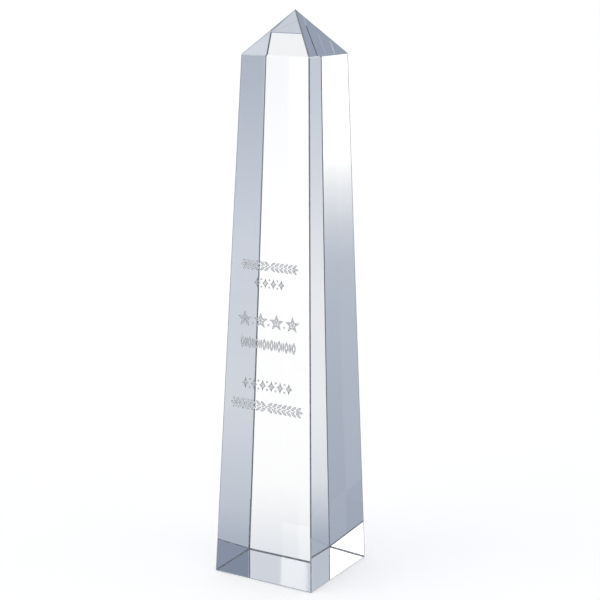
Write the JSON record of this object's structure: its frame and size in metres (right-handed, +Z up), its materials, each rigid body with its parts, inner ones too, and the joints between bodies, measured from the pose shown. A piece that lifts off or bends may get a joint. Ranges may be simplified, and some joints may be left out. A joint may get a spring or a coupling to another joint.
{
  "type": "crystal award",
  "caption": "Tall four-sided obelisk award in clear crystal, tapering to a pyramid tip, with frosted ornament etched in rows on its front face.",
  "frame": {"origin": "centre of the base face, on the surface that the award stands on", "axes": "+Z up to the tip, -Y out of the etched front face, +X to the right when the etched face is seen from in front"},
  "size_m": [0.06, 0.06, 0.2998],
  "materials": {
    "clear_crystal": "optically polished colourless K9 crystal, refractive index 1.517",
    "frosted_etching": "sandblasted white, matt"
  },
  "bodies": {
    "root": {"crystal_obelisk": "clear_crystal", "etched_garland_upper": "frosted_etching", "etched_lozenges_small": "frosted_etching", "etched_stars": "frosted_etching", "etched_bead_and_reel": "frosted_etching", "etched_lozenges_large": "frosted_etching", "etched_garland_lower": "frosted_etching"}
  },
  "joints": []
}
